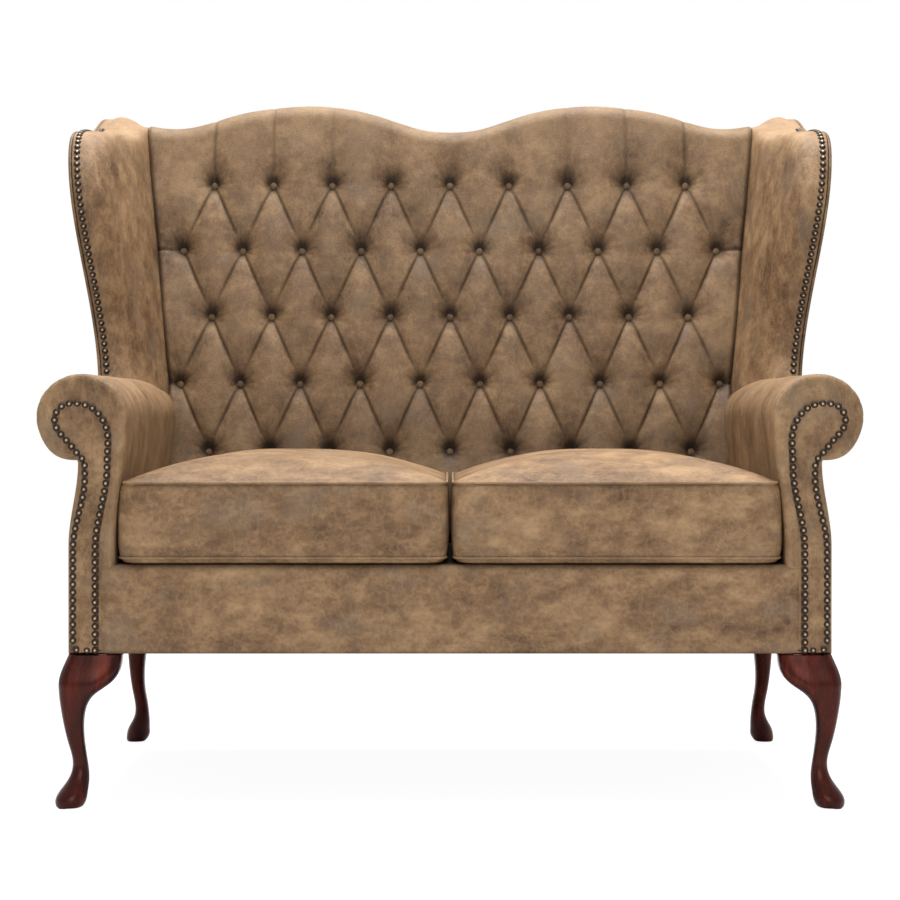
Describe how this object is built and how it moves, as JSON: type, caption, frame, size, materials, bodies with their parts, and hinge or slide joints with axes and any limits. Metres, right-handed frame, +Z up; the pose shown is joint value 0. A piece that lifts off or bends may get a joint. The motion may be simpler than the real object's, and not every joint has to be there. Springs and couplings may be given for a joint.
{
  "type": "winged buttoned sofa",
  "caption": "High-backed two-seat leather sofa with wings, a deep-buttoned back, rolled arms, nail trim, loose seat cushions and dark cabriole legs.",
  "frame": {"origin": "on the floor under the middle of the sofa's box", "axes": "+X to the right seen from the front, +Y from the front to the back, +Z up"},
  "size_m": [1.3034, 0.803, 1.157],
  "materials": {
    "tan_leather": "satin, mottled tan with light rubbed highlights",
    "leg_mahogany": "dark red-brown gloss polish",
    "antique_brass": "dark antique, bright on the crowns",
    "frame_beech": "planed, unfinished",
    "foam": "open-cell foam",
    "spring_steel": "oiled wire and plated fasteners",
    "hessian": "coarse woven cloth",
    "nylon": "matte"
  },
  "bodies": {
    "sofa": {"arm_facing_left": "tan_leather", "arm_facing_right": "tan_leather", "arm_nails_left": "antique_brass", "arm_nails_right": "antique_brass", "arm_outside_left": "tan_leather", "arm_outside_right": "tan_leather", "arm_pad_left": "tan_leather", "arm_pad_right": "tan_leather", "arm_post_left": "frame_beech", "arm_post_right": "frame_beech", "arm_rail_left": "frame_beech", "arm_rail_right": "frame_beech", "back_buttons": "tan_leather", "back_cover": "tan_leather", "back_foam": "foam", "back_hessian": "hessian", "back_post_left": "frame_beech", "back_post_right": "frame_beech", "back_rail": "frame_beech", "back_stiles": "frame_beech", "back_tack_rail": "frame_beech", "back_top_rail": "frame_beech", "back_webbing": "hessian", "button_ties": "hessian", "corner_blocks": "frame_beech", "corner_screws": "spring_steel", "dust_cover": "hessian", "foot_glides": "nylon", "frame_dowels": "frame_beech", "front_border": "tan_leather", "front_rail": "frame_beech", "leg_bolts": "spring_steel", "leg_brackets": "leg_mahogany", "leg_front_left": "leg_mahogany", "leg_front_right": "leg_mahogany", "leg_rear_left": "leg_mahogany", "leg_rear_right": "leg_mahogany", "outside_back": "tan_leather", "seat_deck": "hessian", "seat_springs": "spring_steel", "side_rail_left": "frame_beech", "side_rail_right": "frame_beech", "spring_clips": "spring_steel", "spring_tie_wires": "spring_steel", "wing_board_left": "frame_beech", "wing_board_right": "frame_beech", "wing_nails_left": "antique_brass", "wing_nails_right": "antique_brass", "wing_outside_left": "tan_leather", "wing_outside_right": "tan_leather", "wing_pad_left": "tan_leather", "wing_pad_right": "tan_leather"},
    "cushion_left": {"cushion_cover_left": "tan_leather", "cushion_core_left": "foam"},
    "cushion_right": {"cushion_cover_right": "tan_leather", "cushion_core_right": "foam"}
  },
  "joints": [
    {"name": "cushion_left_slide", "type": "slide", "parent": "sofa", "child": "cushion_left", "axis": [0, -1, 0], "range_m": [0, 0.56]},
    {"name": "cushion_right_slide", "type": "slide", "parent": "sofa", "child": "cushion_right", "axis": [0, -1, 0], "range_m": [0, 0.56]}
  ]
}
